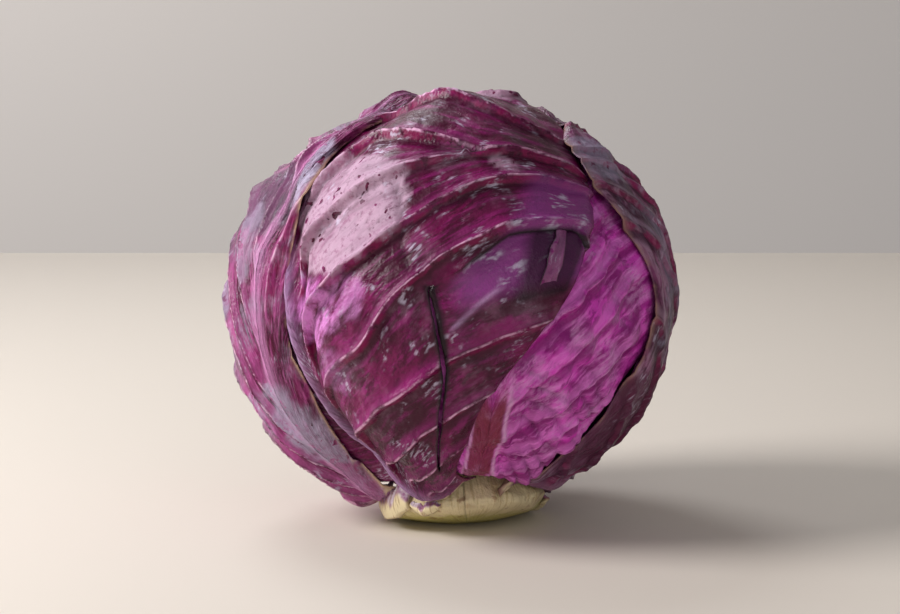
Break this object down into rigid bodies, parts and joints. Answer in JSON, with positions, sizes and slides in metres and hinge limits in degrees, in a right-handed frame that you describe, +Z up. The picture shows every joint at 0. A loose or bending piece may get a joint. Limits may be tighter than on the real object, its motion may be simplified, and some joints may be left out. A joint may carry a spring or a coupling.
{
  "type": "red cabbage head",
  "caption": "Round head of red cabbage: crinkled, veined wrapper leaves folded over a packed heart, resting on its flat cut stem.",
  "frame": {"origin": "centre of the flat cut under the stem, which the head rests on", "axes": "+Z up; -Y is the front, where the front leaf's tear shows; +X to the right seen from the front. The crown leans 13 degrees towards +Y and 4 degrees towards -X."},
  "size_m": [0.1494, 0.1503, 0.1406],
  "materials": {
    "stem": "matt, moist pith with a thin green rind",
    "heart": "satin, waxy",
    "inner_leaf": "satin, finely crinkled",
    "wrapper_leaf": "glossy wax over wine red, with pale veins",
    "outer_leaf": "glossy, with a grey bloom"
  },
  "bodies": {
    "root": {"stem": "stem", "heart": "heart", "leaf_right_inner": "inner_leaf", "leaf_left_inner": "inner_leaf", "leaf_front_inner": "inner_leaf", "leaf_front": "wrapper_leaf", "leaf_back": "wrapper_leaf", "leaf_left": "outer_leaf", "leaf_right": "outer_leaf"}
  },
  "joints": []
}
